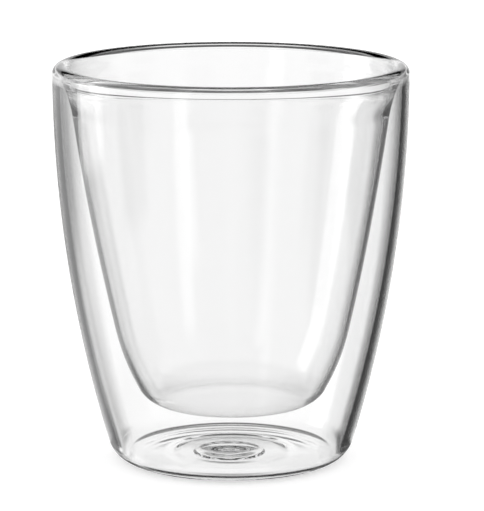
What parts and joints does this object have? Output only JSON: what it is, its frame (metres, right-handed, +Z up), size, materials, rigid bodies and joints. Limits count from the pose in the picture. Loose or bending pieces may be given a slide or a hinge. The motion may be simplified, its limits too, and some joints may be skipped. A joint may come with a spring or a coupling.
{
  "type": "double walled glass cup",
  "caption": "Clear double walled glass tumbler: an inner bowl fused at a round rim to a tapering outer wall, with sealed air between and a sealed vent in the base.",
  "frame": {"origin": "centre of the cup's footprint, in the plane of the flat ring that it stands on", "axes": "+Z up along the cup's axis of turning, from the base to the rim; +X and +Y are alike, as the cup is round"},
  "size_m": [0.0842, 0.0842, 0.095],
  "materials": {
    "outer_glass": "clear blown borosilicate glass, polished by the flame",
    "inner_glass": "clear blown borosilicate glass, thin and polished by the flame",
    "rim_glass": "clear fused glass, fire polished to a round bead",
    "seal_glass": "clear drop of fused glass"
  },
  "bodies": {
    "root": {"outer_wall": "outer_glass", "inner_wall": "inner_glass", "rim_ring": "rim_glass", "vent_seal": "seal_glass"}
  },
  "joints": []
}
